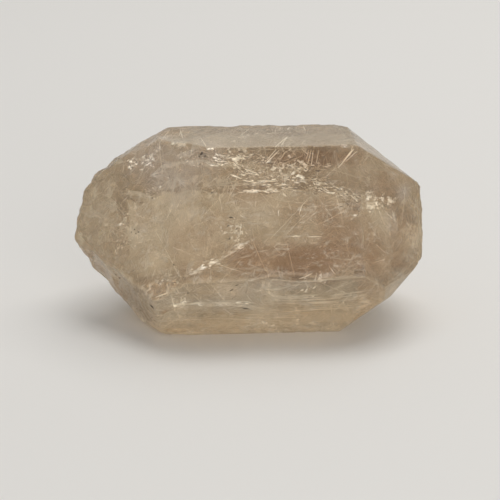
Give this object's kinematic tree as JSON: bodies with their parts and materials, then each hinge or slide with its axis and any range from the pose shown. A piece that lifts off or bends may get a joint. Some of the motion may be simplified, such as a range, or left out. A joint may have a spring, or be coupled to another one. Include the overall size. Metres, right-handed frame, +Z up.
{
  "type": "rutilated smoky quartz crystal",
  "caption": "Natural smoky quartz crystal with rutile needles: a stout six-sided prism lying on one side, with a pyramid point and a worn, rounded broken end.",
  "frame": {"origin": "middle of the underside of the crystal's box, on the surface it rests on", "axes": "+X along the crystal's long axis towards its point, -Y towards the viewer, +Z up"},
  "size_m": [0.0902, 0.0502, 0.0484],
  "materials": {
    "smoky_quartz": "clear to milky grey-brown quartz, satin natural faces, frosted where broken",
    "rutile": "hair-thin pale gold needles grown inside the quartz, silky",
    "healed_crack": "silvery white flakes and feathers of healed cracks inside the quartz",
    "dark_mineral": "small dark grains inside the quartz, dull"
  },
  "bodies": {
    "root": {"quartz_crystal": "smoky_quartz"}
  },
  "joints": []
}
